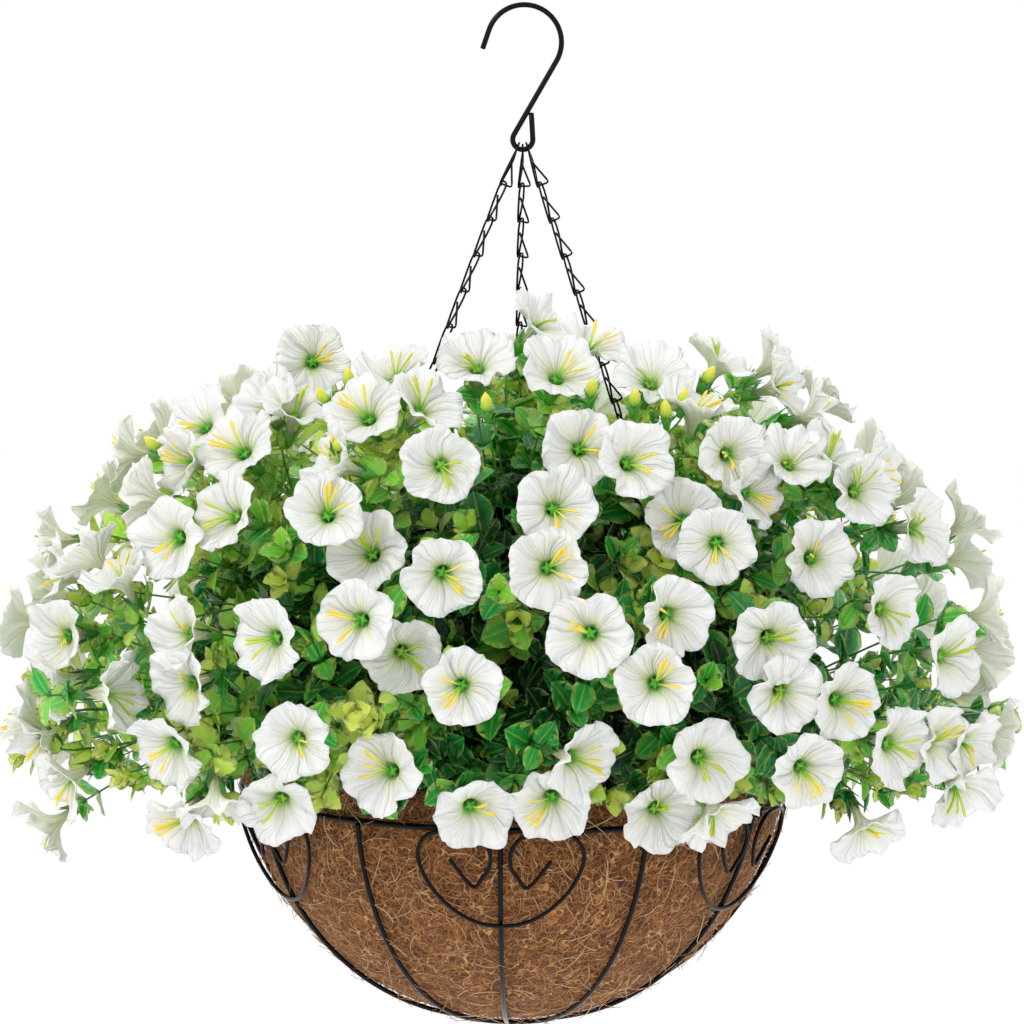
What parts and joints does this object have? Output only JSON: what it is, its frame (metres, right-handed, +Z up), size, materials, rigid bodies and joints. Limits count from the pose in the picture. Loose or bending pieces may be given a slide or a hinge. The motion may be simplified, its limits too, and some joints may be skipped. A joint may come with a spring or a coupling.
{
  "type": "hanging basket of artificial flowers",
  "caption": "Hanging basket of white trumpet flowers and small green leaves in a black wire bowl with scrolls and a coir liner, on three twisted chains and an S-hook",
  "frame": {"origin": "the inner top of the S-hook's crook, where the basket hangs", "axes": "+Z up, the front of the basket towards -Y, the hook's plane in XZ"},
  "size_m": [0.5565, 0.4701, 0.5605],
  "materials": {
    "black_wire": "semi-gloss black powder coat on drawn steel wire",
    "coir": "matte pressed coconut fibre",
    "fill": "dull brown foam",
    "petal": "matte white woven petals with green throats",
    "leaf": "satin moulded green leaves"
  },
  "bodies": {
    "hook": {"s_hook": "black_wire"},
    "basket": {"chain_right": "black_wire", "chain_left": "black_wire", "chain_back": "black_wire", "rim_ring": "black_wire", "base_ring": "black_wire", "rib_01": "black_wire", "rib_02": "black_wire", "rib_03": "black_wire", "rib_04": "black_wire", "rib_05": "black_wire", "rib_06": "black_wire", "rib_07": "black_wire", "rib_08": "black_wire", "rib_09": "black_wire", "rib_10": "black_wire", "rib_11": "black_wire", "rib_12": "black_wire", "scroll_1": "black_wire", "scroll_2": "black_wire", "scroll_3": "black_wire", "scroll_4": "black_wire", "scroll_5": "black_wire", "scroll_6": "black_wire", "coir_liner": "coir", "fill": "fill", "flowering_spray_01": "petal", "flowering_spray_02": "petal", "flowering_spray_03": "petal", "flowering_spray_04": "petal", "flowering_spray_05": "petal", "flowering_spray_06": "petal", "flowering_spray_07": "petal", "flowering_spray_08": "petal", "flowering_spray_09": "petal", "flowering_spray_10": "petal", "flowering_spray_11": "petal", "flowering_spray_12": "petal", "flowering_spray_13": "petal", "flowering_spray_14": "petal", "flowering_spray_15": "petal", "flowering_spray_16": "petal", "flowering_spray_17": "petal", "flowering_spray_18": "petal", "leafy_stem_01": "leaf", "leafy_stem_02": "leaf", "leafy_stem_03": "leaf", "leafy_stem_04": "leaf", "leafy_stem_05": "leaf", "leafy_stem_06": "leaf", "leafy_stem_07": "leaf", "leafy_stem_08": "leaf", "leafy_stem_09": "leaf", "leafy_stem_10": "leaf", "leafy_stem_11": "leaf", "leafy_stem_12": "leaf"}
  },
  "joints": [
    {"name": "hook_swing", "type": "hinge", "parent": "hook", "child": "basket", "pos_m": [0, 0, -0.0774], "axis": [1, 0, 0], "range_deg": [-25, 25]}
  ]
}
